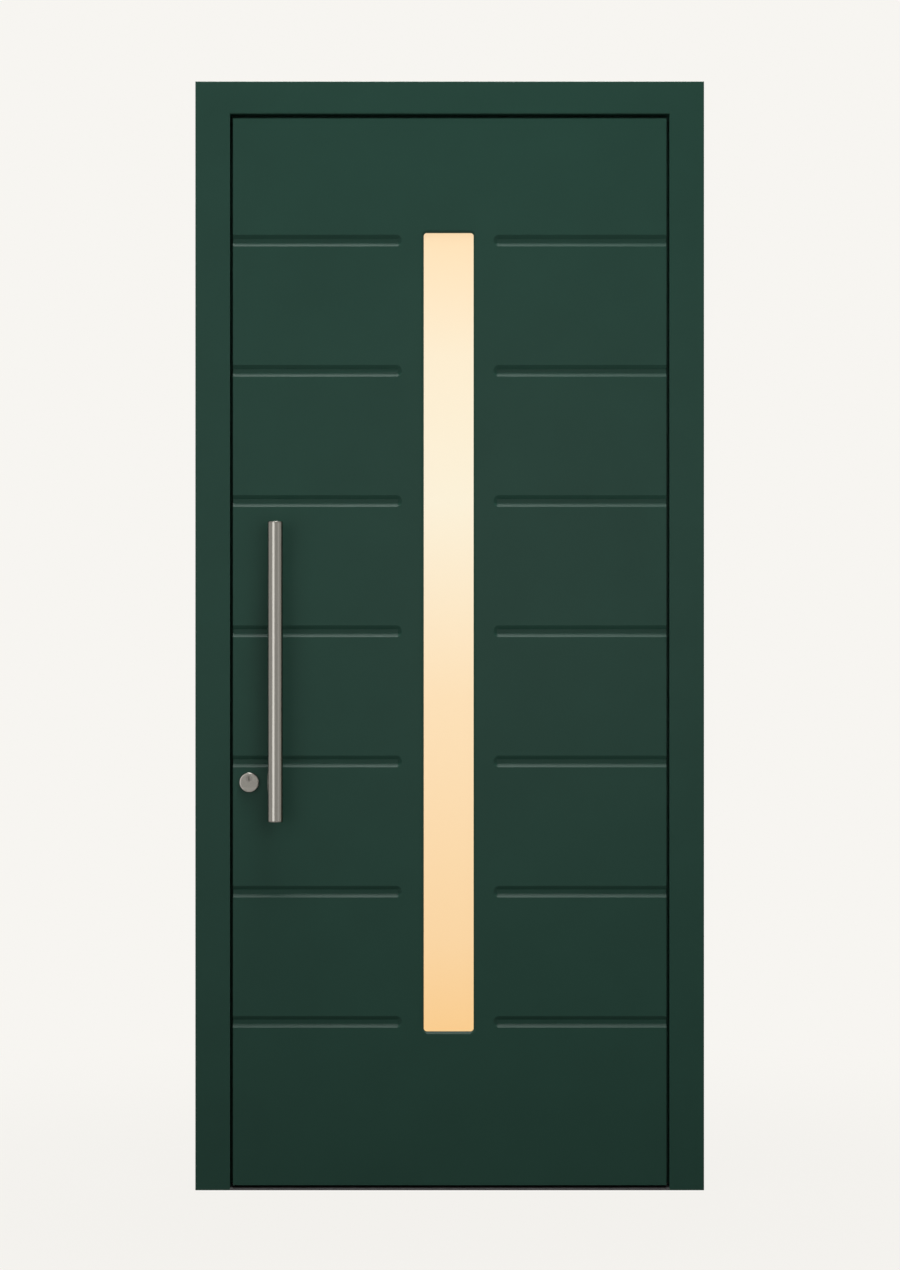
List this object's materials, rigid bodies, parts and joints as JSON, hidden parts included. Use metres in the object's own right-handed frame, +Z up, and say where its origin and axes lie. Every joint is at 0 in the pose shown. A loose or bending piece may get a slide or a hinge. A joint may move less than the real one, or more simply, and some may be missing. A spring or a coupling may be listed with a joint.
{
  "type": "panelled front door",
  "caption": "Inward-opening flush entrance door in its aluminium frame: grooved skin, tall frosted glass strip, pull bar outside, lever inside, multi-point lock and hinges.",
  "frame": {"origin": "on the floor under the threshold, at the middle of the frame's width and depth", "axes": "+X to the right seen from outside, +Y into the building, +Z up"},
  "size_m": [1, 0.227, 2.18],
  "materials": {
    "green_coat": "fine-textured satin powder coat",
    "insulating_plastic": "matt black",
    "seal_rubber": "matt black",
    "dark_threshold": "dark anodised",
    "bare_aluminium": "mill finish",
    "brushed_stainless": "brushed along its length",
    "coated_hinge": "fine-textured satin powder coat",
    "plain_steel": "zinc plated",
    "nickel_brass": "nickel plated",
    "frosted_glass": "frosted",
    "clear_glass": "clear",
    "insulating_foam": "cut foam"
  },
  "bodies": {
    "frame": {"lock_jamb_outer": "green_coat", "lock_jamb_inner": "green_coat", "hinge_jamb_outer": "green_coat", "hinge_jamb_inner": "green_coat", "head_outer": "green_coat", "head_inner": "green_coat", "frame_insulating_strips": "insulating_plastic", "frame_corner_cleats": "bare_aluminium", "stop_gasket": "seal_rubber", "threshold": "dark_threshold", "main_strike_plate": "brushed_stainless", "auxiliary_strike_plates": "brushed_stainless", "hinge_frame_wings": "coated_hinge", "hinge_pins": "plain_steel", "frame_screws": "plain_steel"},
    "leaf": {"outer_skin": "green_coat", "foam_core": "insulating_foam", "inner_skin": "green_coat", "lock_stile_outer": "green_coat", "lock_stile_inner": "green_coat", "hinge_stile_outer": "green_coat", "hinge_stile_inner": "green_coat", "top_rail_outer": "green_coat", "top_rail_inner": "green_coat", "bottom_rail_outer": "green_coat", "bottom_rail_inner": "green_coat", "leaf_insulating_strips": "insulating_plastic", "bottom_seal": "seal_rubber", "outer_pane": "frosted_glass", "middle_pane": "clear_glass", "inner_pane": "clear_glass", "glass_spacers": "bare_aluminium", "glazing_tape": "seal_rubber", "glazing_frame": "green_coat", "setting_blocks": "insulating_plastic", "pull_bar": "brushed_stainless", "pull_bar_caps": "brushed_stainless", "pull_bar_posts": "brushed_stainless", "pull_bar_studs": "plain_steel", "outer_rosette": "brushed_stainless", "inner_rosette": "brushed_stainless", "lever_rosette": "brushed_stainless", "cylinder_body": "nickel_brass", "lock_faceplate": "brushed_stainless", "lock_case": "plain_steel", "auxiliary_cases": "plain_steel", "hinge_leaf_wings": "coated_hinge", "hinge_bushes": "insulating_plastic", "leaf_screws": "plain_steel"},
    "key_rotor": {"key_plug": "nickel_brass", "lock_cam": "plain_steel", "thumb_turn": "brushed_stainless"},
    "lever": {"lever_handle": "brushed_stainless", "lever_spindle": "plain_steel", "latch_follower": "plain_steel"},
    "latch": {"latch_bolt": "plain_steel"},
    "bolts": {"deadbolt": "plain_steel", "auxiliary_bolts": "plain_steel"},
    "drive": {"drive_rods": "plain_steel"}
  },
  "joints": [
    {"name": "door_swing", "type": "hinge", "parent": "frame", "child": "leaf", "pos_m": [0.4515, 0.0575, 1.06], "axis": [0, 0, -1], "range_deg": [0, 100]},
    {"name": "lever_turn", "type": "hinge", "parent": "leaf", "child": "lever", "pos_m": [-0.394, 0.1, 0.902], "axis": [0, 1, 0], "range_deg": [0, 45], "stiffness_Nm_per_rad": 2, "springref_deg": -20.05},
    {"name": "latch_slide", "type": "slide", "parent": "leaf", "child": "latch", "axis": [1, 0, 0], "range_m": [0, 0.012]},
    {"name": "bolt_slide", "type": "slide", "parent": "leaf", "child": "bolts", "axis": [-1, 0, 0], "range_m": [0, 0.02]},
    {"name": "drive_slide", "type": "slide", "parent": "leaf", "child": "drive", "axis": [0, 0, 1], "range_m": [0, 0.02]},
    {"name": "key_turn", "type": "hinge", "parent": "leaf", "child": "key_rotor", "pos_m": [-0.394, 0.024, 0.81], "axis": [0, -1, 0], "range_deg": [0, 360]}
  ],
  "couplings": [
    {"joint": "latch_slide", "follows": "lever_turn", "m_per_rad": 0.015279},
    {"joint": "drive_slide", "follows": "bolt_slide", "ratio": 1},
    {"joint": "key_turn", "follows": "bolt_slide", "rad_per_m": 314.16}
  ]
}
